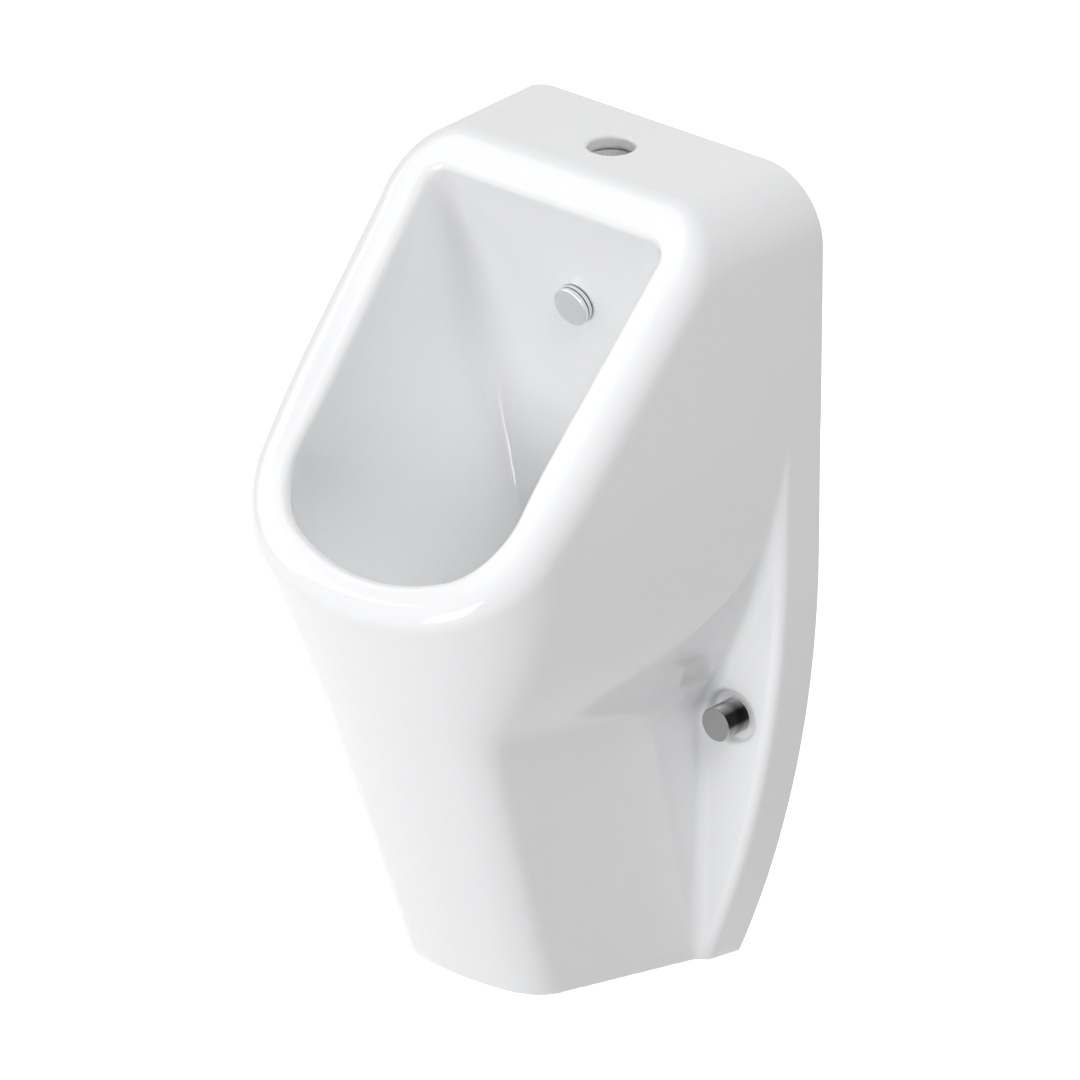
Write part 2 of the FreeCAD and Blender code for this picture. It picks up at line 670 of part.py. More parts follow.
def trap_parts():
    y = -bowl_middle
    inner = trap_width - 2 * trap_wall
    neck_in = waste_width + 2 * slip
    dip_width = waste_width - 2 * waste_wall
    stub_start = y + trap_width / 2 - trap_wall
    stub_end = -outlet_stub_end
    stub_width = outlet_width + 2 * trap_wall
    pipe_bore = outlet_width - 2 * trap_wall
    pipe_hole = outlet_width + 2 * slip

    body = tube(0, y, trap_bottom, UP, trap_width, 0, trap_top - trap_bottom)
    shoulder = [e for e in body.Edges if e.Curve.TypeId == "Part::GeomCircle"
                and abs(e.Curve.Center.z - trap_top) < 0.01]
    body = body.makeFillet(2 * trap_wall, shoulder)
    body = body.fuse(tube(0, y, trap_top - trap_wall, UP, trap_neck_width, 0,
                          trap_neck_top - trap_top + trap_wall))
    body = body.fuse(tube(0, stub_start, outlet_level, BACK, stub_width, 0, stub_end - stub_start))
    body = body.cut(tube(0, y, trap_bottom, UP, inner, 0, trap_top - trap_bottom - trap_wall))
    body = body.fuse(tube(0, y, trap_dip_end, UP, dip_width, 0, trap_top - trap_dip_end))
    body = body.cut(tube(0, y, trap_dip_end, UP, dip_width - 2 * trap_wall, 0, trap_neck_top))
    body = body.cut(tube(0, y, waste_end - trap_socket_step, UP, neck_in, 0, trap_neck_top))
    passage_start = y + (dip_width + trap_wall) / 2
    body = body.cut(tube(0, passage_start, outlet_level, BACK, pipe_bore, 0, trap_width))
    body = body.cut(tube(0, stub_end - outlet_socket, outlet_level, BACK, pipe_hole, 0,
                         2 * outlet_socket))

    cup_in = trap_cup_width - 2 * trap_wall
    cup_top = trap_bottom + trap_cup_insert
    collar_base = trap_bottom - trap_cup_seal_height - trap_cup_collar
    cup = tube(0, y, trap_cup_bottom, UP, trap_cup_width, 0, cup_top - trap_cup_bottom)
    foot = [e for e in cup.Edges if e.Curve.TypeId == "Part::GeomCircle"
            and abs(e.Curve.Center.z - trap_cup_bottom) < 0.01]
    cup = cup.makeFillet(trap_cup_foot_radius, foot)
    cup = cup.fuse(tube(0, y, collar_base, UP, trap_width, 0, trap_cup_collar))
    well = tube(0, y, trap_cup_bottom + trap_wall, UP, cup_in, 0, cup_top - trap_cup_bottom)
    foot = [e for e in well.Edges if e.Curve.TypeId == "Part::GeomCircle"
            and abs(e.Curve.Center.z - trap_cup_bottom - trap_wall) < 0.01]
    cup = cup.cut(well.makeFillet(trap_cup_foot_radius - trap_wall, foot))
    rib_base = trap_cup_bottom + trap_cup_foot_radius
    for i in range(trap_cup_ribs):
        rib = Part.makeBox((trap_width - trap_cup_width) / 2, trap_wall, collar_base - rib_base,
                           V(trap_cup_width / 2 - trap_wall / 2, -trap_wall / 2, rib_base))
        rib.rotate(V(0, 0, 0), UP, 360 * i / trap_cup_ribs)
        rib.translate(V(0, y, 0))
        cup = cup.fuse(rib)
    cup = cup.removeSplitter()
    cup_seal = tube(0, y, trap_bottom - trap_cup_seal_height, UP, trap_width,
                    trap_cup_width + 2 * slip, trap_cup_seal_height)

    nut_top = trap_neck_top + trap_seal_height + trap_wall
    nut_base = nut_top - trap_nut_height
    seal = tube(0, y, trap_neck_top, UP, trap_neck_width, neck_in, trap_seal_height)
    nut = prism_nut(0, y, nut_base, UP, trap_nut_width, neck_in, trap_nut_height, trap_nut_sides)
    nut = nut.cut(tube(0, y, nut_base, UP, trap_neck_width + 2 * slip, 0,
                       trap_nut_height - trap_wall))

    pipe_start = stub_end - outlet_socket + seat_gap
    pipe = tube(0, pipe_start, outlet_level, BACK, outlet_width, pipe_bore,
                outlet_past_wall - pipe_start)
    out_seal = tube(0, stub_end, outlet_level, BACK, stub_width, pipe_hole, trap_seal_height)
    grip = outlet_nut_grip + trap_seal_height
    out_nut = prism_nut(0, stub_end - outlet_nut_grip, outlet_level, BACK, outlet_nut_width,
                        pipe_hole, grip + trap_wall, trap_nut_sides)
    out_nut = out_nut.cut(tube(0, stub_end - outlet_nut_grip, outlet_level, BACK,
                               stub_width + 2 * slip, 0, grip))
    collar_front = -collar_flange_thickness - seat_gap
    collar = tube(0, collar_front, outlet_level, BACK, collar_flange, pipe_hole,
                  collar_flange_thickness)
    collar = collar.fuse(tube(0, -seat_gap, outlet_level, BACK, collar_width, pipe_hole,
                              collar_in_wall))
    return {"trap_body": body, "trap_cup": cup, "trap_cup_seal": cup_seal,
            "trap_inlet_seal": seal, "trap_inlet_nut": nut, "outlet_pipe": pipe,
            "outlet_seal": out_seal, "outlet_nut": out_nut, "wall_collar": collar}


# ---------------------------------------------------------------- wall fixings
def fixing_parts():
    recess_floor = flange_depth - fixing_recess_depth
    flange_front = recess_floor + sleeve_flange_thickness
    washer_front = flange_front + washer_thickness
    nut_front = washer_front + nut_thickness
    z = fixing_level
    groups = {"fixing_studs": [], "wall_anchors": [], "fixing_sleeves": [], "fixing_washers": [],
              "fixing_nuts": []}
    caps = {}
    for side, name in ((-1, "fixing_cap_left"), (1, "fixing_cap_right")):
        x = side * fixing_spacing / 2
        stud = tube(x, -stud_front, z, BACK, stud_width, 0, stud_front + stud_in_wall)
        ends = [e for e in stud.Edges if e.Curve.TypeId == "Part::GeomCircle"]
        groups["fixing_studs"].append(stud.makeChamfer(stud_chamfer, ends))
        anchor = tube(x, wall_gap, z, BACK, anchor_width, stud_width + slip, anchor_length)
        slit = Part.makeBox(anchor_width, anchor_length, anchor_slit,
                            V(x - anchor_width / 2, anchor_length / 3, z - anchor_slit / 2))
        groups["wall_anchors"].append(anchor.cut(slit))
        sleeve = tube(x, -recess_floor, z, BACK, fixing_hole - 2 * slip, 0,
                      recess_floor - wall_gap)
        sleeve = sleeve.fuse(tube(x, -flange_front, z, BACK, sleeve_flange, 0,
                                  sleeve_flange_thickness))
        sleeve = sleeve.cut(tube(x, -flange_front, z, BACK, stud_width + 2 * slip, 0, flange_front))
        groups["fixing_sleeves"].append(sleeve)
        groups["fixing_washers"].append(tube(x, -washer_front, z, BACK, washer_width,
                                             stud_width + 2 * slip, washer_thickness))
        groups["fixing_nuts"].append(prism_nut(x, -nut_front, z, BACK, nut_flats,
                                               stud_width + slip, nut_thickness))
        cap_back = flange_front + seat_gap
        cap = tube(x, -cap_front, z, BACK, cap_width, 0, cap_front - cap_back)
        edge = [e for e in cap.Edges if e.Curve.TypeId == "Part::GeomCircle"
                and abs(e.Curve.Center.y + cap_front) < 0.01]
        cap = cap.makeFillet(cap_edge_radius, edge)
        cap = cap.cut(tube(x, -cap_front + cap_wall, z, BACK, cap_width - 2 * cap_wall, 0, cap_front))
        caps[name] = cap
    parts = {name: Part.makeCompound(solids) for name, solids in groups.items()}
    parts.update(caps)
    return parts


def all_parts():
    parts = {"ceramic_body": ceramic_body()}
    parts.update(nozzle_parts())
    parts.update(inlet_parts())
    parts.update(waste_parts())
    parts.update(trap_parts())
    parts.update(fixing_parts())
    return parts


def write_parts():
    os.makedirs("parts", exist_ok=True)
    for name, shape in all_parts().items():
        shape.exportStep("parts/" + name + ".step")
        print(name, len(shape.Solids), round(shape.Volume), shape.isValid())


write_parts()
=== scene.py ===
import bpy
import bmesh
import json
import math
import numpy as np
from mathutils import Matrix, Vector


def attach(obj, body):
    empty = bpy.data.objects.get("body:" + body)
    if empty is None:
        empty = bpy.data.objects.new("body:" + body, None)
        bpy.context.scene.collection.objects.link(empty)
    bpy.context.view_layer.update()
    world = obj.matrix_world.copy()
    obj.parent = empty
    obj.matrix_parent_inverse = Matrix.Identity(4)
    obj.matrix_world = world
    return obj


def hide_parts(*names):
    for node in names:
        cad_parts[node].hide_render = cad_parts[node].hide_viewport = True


# The visual model of a wall-hung urinal, around the CAD model's frame. The ceramic is the zero
# surface of a signed distance, the caps and the nozzle's disc are turned, and the other pieces
# are the CAD model's own, with a finish each.

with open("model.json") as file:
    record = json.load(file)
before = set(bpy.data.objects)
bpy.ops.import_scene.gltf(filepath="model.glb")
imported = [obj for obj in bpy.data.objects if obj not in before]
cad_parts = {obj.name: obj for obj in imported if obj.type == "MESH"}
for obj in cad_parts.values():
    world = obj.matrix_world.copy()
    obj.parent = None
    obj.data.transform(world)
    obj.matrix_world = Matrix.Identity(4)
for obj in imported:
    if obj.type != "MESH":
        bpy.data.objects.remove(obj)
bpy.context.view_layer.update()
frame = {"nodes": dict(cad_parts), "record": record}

MM = 0.001

# ---------------------------------------------------------------- sizes of the ceramic, in mm
# Angles are in degrees, and powers, rakes, flares and shares have no unit.
body_width = 305.0
body_height = 640.0
top_depth = 102.0
rim_slope = 47.0
underside_rise = 10.0
top_corner_radius = 53.0
shell = 11.0
rim_thickness = 14.0

belly_top = 475.0
waist = 220.0
belly_power = 2.5
flank_angle = 2.0
waist_blend = 24.0
housing_width = 160.0
housing_foot_width = 154.0
housing_foot_angle = 3.0
depth_at_foot = 221.0
depth_at_waist = 306.0
depth_at_belly_top = 408.0
bowl_corner_radius = 104.0
housing_corner_radius = 34.0
bowl_front_radius = 250.0
housing_front_radius = 165.0

flange_depth = 40.0
flange_inset = 0.4
flange_foot_width = 160.0
flange_straight_from = 350.0
flange_top = 520.0
flange_edge_radius = 8.0
flange_root_radius = 10.0

rim_outer_radius = 20.0
rim_inner_radius = 6.0

rear_wall_back = 80.0
rear_wall_level = 440.0
rear_wall_radius = 394.0
rear_half_top = 110.0
rear_half_level = 575.0
rear_half_power = 1.62
bowl_middle = 165.0
bowl_level = 430.0
bowl_reach = 158.0
bowl_half = 101.0
bowl_flare = 0.03
bowl_front_rake = 0.38
bowl_floor = 256.0
bowl_curve_end = 248.0
bowl_wall = 10.0
bowl_rear_corner = 14.0
bowl_front_corner = 56.0
bowl_front_arc = 190.0
bowl_undercut = 4.0
least_back_half = 10.0
bowl_flank_share = 0.6
bowl_corner_share = 0.6
bowl_arc_share = 1.3
bowl_below_floor = 4.0
bowl_flare_blend = 16.0
bowl_limit_blend = 6.0

inlet_bore = 35.0
inlet_depth = 54.0
fixing_spacing = 210.0
fixing_level = 215.0
fixing_hole = 16.0
fixing_recess = 40.0
fixing_recess_depth = 7.0
fixing_pad = 56.0
drain_seat = 250.0
drain_seat_width = 80.0
drain_hole = 52.0
drain_boss_width = 96.0
drain_boss_under = 232.0
nozzle_level = 530.0
nozzle_hole = 23.0
nozzle_spot = 38.0
nozzle_wall = 9.0
nozzle_width = 29.5
nozzle_gap = 0.3
nozzle_lean = math.asin((nozzle_level - rear_wall_level) / rear_wall_radius)
nozzle_wall_y = -(rear_wall_back + rear_wall_radius * (1 - math.cos(nozzle_lean)))

# radii of the ceramic's small edges
underside_edge = 2.0
shell_edge = 1.5
pocket_edge = 3.0
boss_edge = 4.0
mass_edge = 3.0
pad_edge = 3.0
bowl_floor_edge = 10.0
inlet_edge = 1.0
recess_edge = 3.0
fixing_hole_edge = 0.8
seat_edge = 1.5
drain_edge = 1.0
nozzle_hole_edge = 0.8
nozzle_seat_edge = 0.5
nozzle_spot_edge = 0.8

# the grid that the distance is sampled on; grid_low is set so that none of its planes lies on a
# flat or outermost part of the ceramic, where the surface would come out uneven
grid_step = 2.5
grid_low = (0.0, -351.1, -6.3)
grid_high = (157.5, 10.0, 645.0)
grid_slack = 0.1

# limits that keep the distances well behaved
least_sine_square = 0.001
least_swell_square = 0.002
least_run = 1e-6
rim_match = 1e-6
least_move = 1e-9
least_gradient_square = 0.2
section_slopes = (0.5, 3.0)
root_cosines = (-0.5, 0.999)
rim_cosines = (-0.8, 0.8)
section_probe = 0.25
settle_probe = 0.05
settle_rounds = 2
settle_share = 0.5

# ---------------------------------------------------------------- sizes of turned pieces, in mm
cap_width = 26.0
cap_wall = 1.5
cap_edge = 0.7
cap_front = 58.0
cap_length = 22.2
disc_front = -8.6
disc_back = -4.8
disc_edge = 0.6
stem_width = 5.0
stem_end = 6.0
# straight run beside an edge's arc, so that the flat beside it is shaded flat
edge_run = 0.3
weld_distance = 0.001
sharp_angle = 40.0


# ---------------------------------------------------------------- distances
def both(a, b, radius, cosine=0.0):
    """Where both hold (the larger distance), with the outer edge rounded to radius."""
    u = a + radius
    v = b + radius
    corner = (u - v * cosine > 0) & (v - u * cosine > 0)
    sine_square = np.maximum(1 - np.square(cosine), least_sine_square)
    square = np.maximum(u * u + v * v - 2 * u * v * cosine, 0) / sine_square
    sharp = np.maximum(a, b)
    return np.where(corner, np.maximum(np.sqrt(square) - radius, sharp), sharp)


def either(a, b, radius, cosine=0.0):
    """Where one of the two holds, with the inner edge filled to radius."""
    return -both(-a, -b, radius, cosine)


def without(a, b, radius, cosine=0.0):
    """a with b taken out of it, and the edge between them rounded to radius."""
    return both(a, -b, radius, cosine)


def soft_min(a, b, width):
    """The smaller of two, blended over about width."""
    return (a + b - np.sqrt((a - b) ** 2 + width ** 2)) / 2


def soft_max(a, b, width):
    """The larger of two, blended over about width."""
    return -soft_min(-a, -b, width)


def outline(x, y, rear, half, rear_corner, angle, front, corner, front_radius):
    """Distance to the section outline that part.py draws, in the section's own plane."""
    ax = np.abs(x)
    s = np.sin(angle)
    c = np.cos(angle)
    side = (ax - half) * c - (y - rear) * s
    arc_y = front + front_radius
    ahead = np.hypot(ax, y - arc_y) - front_radius
    nose = np.where(y < arc_y, ahead, ax - front_radius)
    body = np.maximum(side, nose)
    base_x = half - corner * c
    base_y = rear + corner * s
    dot = -base_x * s - (base_y - arc_y) * c
    square = base_x ** 2 + (base_y - arc_y) ** 2
    reach = -dot + np.sqrt(np.maximum(dot ** 2 - square + (front_radius - corner) ** 2, 0))
    qx = base_x - reach * s
    qy = base_y - reach * c
    size = np.hypot(qx, qy - arc_y)
    nx = qx / size
    ny = (qy - arc_y) / size
    px = ax - qx
    py = y - qy
    wedge = (-px * s - py * c >= 0) & (-px * ny + py * nx >= 0)
    body = np.where(wedge, np.hypot(px, py) - corner, body)
    if rear_corner is None:
        return body
    back = y - rear
    run = rear_corner * (1 + s) / c
    bx = half - rear_corner * c - run * s
    by = rear + rear_corner * s - run * c
    rx = ax - bx
    ry = y - by
    turn = (rx >= 0) & (rx * s + ry * c >= 0)
    body = np.maximum(body, back)
    return np.where(turn, np.hypot(rx, ry) - rear_corner, body)


def depth_at(level):
    """Depth of the front at a level: a parabola through foot, waist and the belly's top."""
    level = np.minimum(level, belly_top)
    a = (level - waist) * (level - belly_top) / (waist * belly_top)
    b = level * (level - belly_top) / (waist * (waist - belly_top))
    c = level * (level - waist) / (belly_top * (belly_top - waist))
    return depth_at_foot * a + depth_at_waist * b + depth_at_belly_top * c


def belly_share(level):
    """How far the section has swelled from the housing (0) to the full belly (1)."""
    drop = np.maximum((belly_top - level) / (belly_top - waist), 0)
    share = 1 - drop ** belly_power
    soft = waist_blend / (belly_top - waist)
    full = 1 + math.sqrt(1 + soft ** 2)
    return (share + np.sqrt(share ** 2 + soft ** 2)) / full


def skin(x, y, z, inset):
    """Belly and housing, drawn in planes that are parallel to the underside."""
    rise = math.radians(underside_rise)
    level = z + y * math.tan(rise)
    share = belly_share(level)
    housing = housing_foot_width + (housing_width - housing_foot_width) * level / waist
    housing = np.minimum(housing, housing_width)
    half = (housing + (body_width - housing) * share) / 2
    corner = housing_corner_radius + (bowl_corner_radius - housing_corner_radius) * share
    arc = housing_front_radius + (bowl_front_radius - housing_front_radius) * share
    closing = housing_foot_angle * (1 - np.clip(level / waist, 0, 1)) + flank_angle * share
    front = -(depth_at(level) - inset) / math.cos(rise)
    return outline(x, y / math.cos(rise), 0.0, half - inset, None, np.radians(closing), front,
                   corner - inset, arc - inset)


def bowl(x, y, z, grow):
    """The bowl's inside, open at the top, grown all round by grow."""
    lift = grow * np.clip((bowl_level - z) / (bowl_level - bowl_floor), 0, 1)
    level = np.maximum(z + lift, bowl_floor - bowl_below_floor)
    above = soft_max(0, level - bowl_level, bowl_flare_blend)
    fall = np.maximum(0, bowl_level - level) / (bowl_level - bowl_curve_end)
    swell = np.sqrt(np.maximum(1 - fall ** 2, least_swell_square))
    rise = level - rear_wall_level
    rear = -(rear_wall_back + rear_wall_radius - np.sqrt(rear_wall_radius ** 2 - rise ** 2))
    front = -(bowl_middle + bowl_reach * swell + above * bowl_front_rake)
    widest = bowl_half * swell + above * bowl_flare
    narrowing = np.maximum(0, rear_half_level - level) / (rear_half_level - bowl_curve_end)
    rear_half = rear_half_top * (1 - narrowing ** rear_half_power) + least_back_half
    rear_half = soft_min(rear_half, widest + bowl_undercut, bowl_limit_blend)
    angle = -np.arctan2(widest - rear_half, bowl_flank_share * (rear - front))
    corner = soft_min(bowl_front_corner, bowl_corner_share * widest, bowl_limit_blend)
    arc = soft_max(bowl_front_arc * swell, bowl_arc_share * widest, bowl_limit_blend)
    back = np.minimum(bowl_rear_corner, bowl_corner_share * rear_half)
    return outline(x, y, rear + grow, rear_half + grow, back + grow, angle, front - grow,
                   corner + grow, arc + grow)


def true_distance(shape, x, y, z, *more):
    """A section's distance in true millimetres, and its direction: both over its slope."""
    f = shape(x, y, z, *more)
    fx = (shape(x + section_probe, y, z, *more) - f) / section_probe
    fy = (shape(x, y + section_probe, z, *more) - f) / section_probe
    fz = (shape(x, y, z + section_probe, *more) - f) / section_probe
    size = np.clip(np.sqrt(fx * fx + fy * fy + fz * fz), *section_slopes)
    return f / size, fx / size, fy / size, fz / size


def front_outline(x, y, z, half, top, corner):
    """The view from the front: upright sides that close with the flanks, rounded top corners."""
    half = half + y * math.tan(math.radians(flank_angle))
    qx = np.abs(x) - (half - corner)
    qz = z - (top - corner)
    return np.where((qx > 0) & (qz > 0), np.hypot(qx, qz), np.maximum(qx, qz)) - corner


def slope_plane(y, z, depth, height):
    """The rim's plane, down and forward from a point that is depth forward and height up."""
    a = math.radians(rim_slope)
    return -(y + depth) * math.sin(a) + (z - height) * math.cos(a)


def flange(x, y, z, inset):
    """The flanges' outer sides: upright, then swept in to the foot on a large arc."""
    half = body_width / 2 - flange_inset
    step = half - flange_foot_width / 2
    sweep = (flange_straight_from ** 2 + step ** 2) / (2 * step)
    centre = half - sweep + y * math.tan(math.radians(flank_angle))
    ax = np.abs(x) - centre
    low = np.hypot(ax, z - flange_straight_from) - sweep
    side = np.where(z < flange_straight_from, low, ax - sweep)
    return side + inset


def rod_y(x, z, cx, cz, width):
    """An endless round rod from front to back."""
    return np.hypot(x - cx, z - cz) - width / 2


def rod_z(x, y, cy, width):
    """An endless upright round rod in the middle plane."""
    return np.hypot(x, y - cy) - width / 2


def outer_form(x, y, z, slope):
    """Belly, housing, flanges and rim, before anything is taken out of them."""
    outer, gx, gy, gz = true_distance(skin, x, y, z, 0.0)
    prism = front_outline(x, y, z, body_width / 2, body_height, top_corner_radius)
    a = math.radians(rim_slope)
    dot_skin = -gy * math.sin(a) + gz * math.cos(a)
    qz = z - (body_height - top_corner_radius)
    flat_half = body_width / 2 - top_corner_radius + y * math.tan(math.radians(flank_angle))
    qx = np.maximum(np.abs(x) - flat_half, 0)
    upward = np.where(qz > 0, qz / np.maximum(np.hypot(qx, qz), least_run), 0)
    dot_prism = upward * math.cos(a)
    on_prism = (prism > outer) & (qz > 0)
    outer = np.maximum(outer, prism)
    outer = both(outer, slope, rim_outer_radius, np.where(on_prism, dot_prism, dot_skin))

    side = flange(x, y, z, 0.0)
    block = both(side, -flange_depth - y, flange_edge_radius)
    block = np.maximum(block, z - flange_top)
    on_front = (-flange_depth - y) > side
    dot_root = np.where(on_front, -gy, gx * np.sign(x))
    root = np.clip(outer - side, 0.0, flange_root_radius)
    outer = either(outer, block, root, np.clip(dot_root, *root_cosines))

    rise = math.radians(underside_rise)
    under = -(z * math.cos(rise) + y * math.sin(rise))
    return both(outer, under, underside_edge)


def hollow_form(x, y, z):
    """The space behind the shell, less the bowl, the drain's boss and the fixings' pads."""
    hollow = true_distance(skin, x, y, z, shell)[0]
    inner = front_outline(x, y, z, body_width / 2 - shell, body_height - shell,
                          top_corner_radius - shell)
    hollow = np.maximum(hollow, inner)
    slope_depth = top_depth - rim_thickness * math.tan(math.radians(rim_slope) / 2)
    hollow = np.maximum(hollow, slope_plane(y, z, slope_depth, body_height - rim_thickness))
    pocket = np.maximum(flange(x, y, z, shell), shell - flange_depth - y)
    pocket = np.maximum(pocket, z - flange_top)
    hollow = either(hollow, pocket, pocket_edge)
    back = true_distance(bowl, x, y, z, bowl_wall)[0]
    boss = np.maximum(rod_z(x, y, -bowl_middle, drain_boss_width), drain_boss_under - z)
    boss = np.maximum(boss, z - bowl_floor)
    mass = either(np.maximum(back, bowl_floor - bowl_wall - z), boss, boss_edge)
    hollow = without(hollow, mass, mass_edge)
    for sign in (-1, 1):
        pad = rod_y(x, z, sign * fixing_spacing / 2, fixing_level, fixing_pad)
        hollow = without(hollow, pad, pad_edge)
    return hollow


def with_openings(body, x, y, z):
    """The body with the holes and seats for the inlet, the fixings, the drain and the nozzle.

    A cutter that ends does so clear of the wall that it cuts, at a multiple of the shell.
    """
    inlet = np.maximum(rod_z(x, y, -inlet_depth, inlet_bore), body_height - 3 * shell - z)
    body = without(body, inlet, inlet_edge)
    for sign in (-1, 1):
        cx = sign * fixing_spacing / 2
        recess = both(rod_y(x, z, cx, fixing_level, fixing_recess),
                      y + flange_depth - fixing_recess_depth, recess_edge)
        body = without(body, recess, recess_edge)
        body = without(body, rod_y(x, z, cx, fixing_level, fixing_hole), fixing_hole_edge)
    seat = np.maximum(rod_z(x, y, -bowl_middle, drain_seat_width), drain_seat - z)
    seat = np.maximum(seat, z - drain_seat - 2 * shell)
    body = without(body, seat, seat_edge)
    waste = np.maximum(rod_z(x, y, -bowl_middle, drain_hole), drain_boss_under - shell - z)
    body = without(body, waste, drain_edge)

    sine, cosine = math.sin(nozzle_lean), math.cos(nozzle_lean)
    along = (y - nozzle_wall_y) * cosine + (z - nozzle_level) * sine
    across = -(y - nozzle_wall_y) * sine + (z - nozzle_level) * cosine
    ring = np.hypot(x, across)
    hole = np.maximum(ring - nozzle_hole / 2, -shell - along)
    body = without(body, hole, nozzle_hole_edge)
    seat = np.maximum(np.maximum(ring - nozzle_width / 2 - nozzle_gap, along), -shell - along)
    body = without(body, seat, nozzle_seat_edge)
    spot = np.maximum(np.maximum(ring - nozzle_spot / 2, nozzle_wall - along),
                      along - nozzle_wall - 2 * shell)
    return without(body, spot, nozzle_spot_edge)


def ceramic(x, y, z):
    """Signed distance to the fired body, in millimetres."""
    slope = slope_plane(y, z, top_depth, body_height)
    outer = outer_form(x, y, z, slope)
    inside, _, by, bz = true_distance(bowl, x, y, z, 0.0)
    inside = both(inside, bowl_floor - z, bowl_floor_edge)
    a = math.radians(rim_slope)
    on_rim = slope > outer - rim_match
    dot_rim = np.where(on_rim, by * math.sin(a) - bz * math.cos(a), 0)
    body = without(outer, inside, rim_inner_radius, np.clip(dot_rim, *rim_cosines))
    body = without(body, hollow_form(x, y, z), shell_edge)
    return with_openings(body, x, y, z)


# ---------------------------------------------------------------- surface from distances
def surface_net(field, low, step):
    """Vertices and quads of the zero surface of a sampled field."""
    inside = field < 0
    cells = tuple(n - 1 for n in field.shape)
    count = np.zeros(cells, dtype=np.int8)
    corners = [(i, j, k) for i in (0, 1) for j in (0, 1) for k in (0, 1)]
    for i, j, k in corners:
        count += inside[i:i + cells[0], j:j + cells[1], k:k + cells[2]]
    active = (count > 0) & (count < 8)
    where = np.argwhere(active)
    # one point in each cell that the surface passes: the mean of the crossings on its edges
    number = np.full(cells, -1, dtype=np.int64)
    number[active] = np.arange(len(where))
    total = np.zeros((len(where), 3))
    hits = np.zeros(len(where))
    for a in corners:
        for axis in range(3):
            if a[axis]:
                continue
            b = list(a)
            b[axis] = 1
            fa = field[where[:, 0] + a[0], where[:, 1] + a[1], where[:, 2] + a[2]]
            fb = field[where[:, 0] + b[0], where[:, 1] + b[1], where[:, 2] + b[2]]
            cross = (fa < 0) != (fb < 0)
            t = np.where(cross, fa / np.where(cross, fa - fb, 1), 0)
            point = np.array(a, dtype=float)[None, :].repeat(len(where), 0)
            point[:, axis] += t
            total += point * cross[:, None]
            hits += cross
    points = (where + total / hits[:, None]) * step + np.array(low)[None, :]
    # one quad round each grid edge that the surface crosses
    quads = []
    for axis in range(3):
        u = (axis + 1) % 3
        v = (axis + 2) % 3
        first = [slice(1, -1)] * 3
        first[axis] = slice(0, -1)
        second = [slice(1, -1)] * 3
        second[axis] = slice(1, None)
        fa = inside[tuple(first)]
        fb = inside[tuple(second)]
        edge = np.argwhere(fa != fb)
        flip = fa[tuple(edge.T)]
        start = edge.copy()
        start[:, u] += 1
        start[:, v] += 1
        cornered = []
        for du, dv in ((0, 0), (-1, 0), (-1, -1), (0, -1)):
            cell = start.copy()
            cell[:, u] += du
            cell[:, v] += dv
            cornered.append(number[tuple(cell.T)])
        quad = np.stack(cornered, axis=1)
        quad[~flip] = quad[~flip][:, ::-1]
        quads.append(quad)
    return points, np.concatenate(quads)


def settle(points, rounds, limit):
    """Move points onto the exact zero surface, by at most limit in each round."""
    tiny = settle_probe
    for _ in range(rounds):
        x, y, z = points.T
        f = ceramic(x, y, z)
        gx = (ceramic(x + tiny, y, z) - ceramic(x - tiny, y, z)) / (2 * tiny)
        gy = (ceramic(x, y + tiny, z) - ceramic(x, y - tiny, z)) / (2 * tiny)
        gz = (ceramic(x, y, z + tiny) - ceramic(x, y, z - tiny)) / (2 * tiny)
        g = np.stack([gx, gy, gz], axis=1)
        size = np.maximum(np.sum(g * g, axis=1), least_gradient_square)
        move = -g * (f / size)[:, None]
        length = np.linalg.norm(move, axis=1)
        move *= np.minimum(1, limit / np.maximum(length, least_move))[:, None]
        points = points + move
    return points


def ceramic_mesh():
    """Points and quads of the ceramic: sampled on its right half and mirrored."""
    axes = [np.arange(a, b + grid_slack, grid_step) for a, b in zip(grid_low, grid_high)]
    x, y, z = np.meshgrid(*axes, indexing="ij", sparse=True)
    x, y, z = np.broadcast_arrays(x, y, z)
    half = ceramic(x, y, z)
    field = np.concatenate([half[:0:-1], half])
    points, quads = surface_net(field, (-grid_high[0],) + grid_low[1:], grid_step)
    return settle(points, settle_rounds, grid_step * settle_share), quads


def new_object(name, points, faces):
    """A smooth-shaded object from points in mm and faces that have the same number of corners."""
    mesh = bpy.data.meshes.new(name)
    mesh.vertices.add(len(points))
    mesh.vertices.foreach_set("co", (np.asarray(points) * MM).ravel())
    mesh.loops.add(faces.size)
    mesh.loops.foreach_set("vertex_index", faces.ravel())
    mesh.polygons.add(len(faces))
    mesh.polygons.foreach_set("loop_start", np.arange(0, faces.size, faces.shape[1]))
    mesh.update(calc_edges=True)
    mesh.polygons.foreach_set("use_smooth", np.ones(len(faces), dtype=bool))
    obj = bpy.data.objects.new(name, mesh)
    bpy.context.scene.collection.objects.link(obj)
    return obj


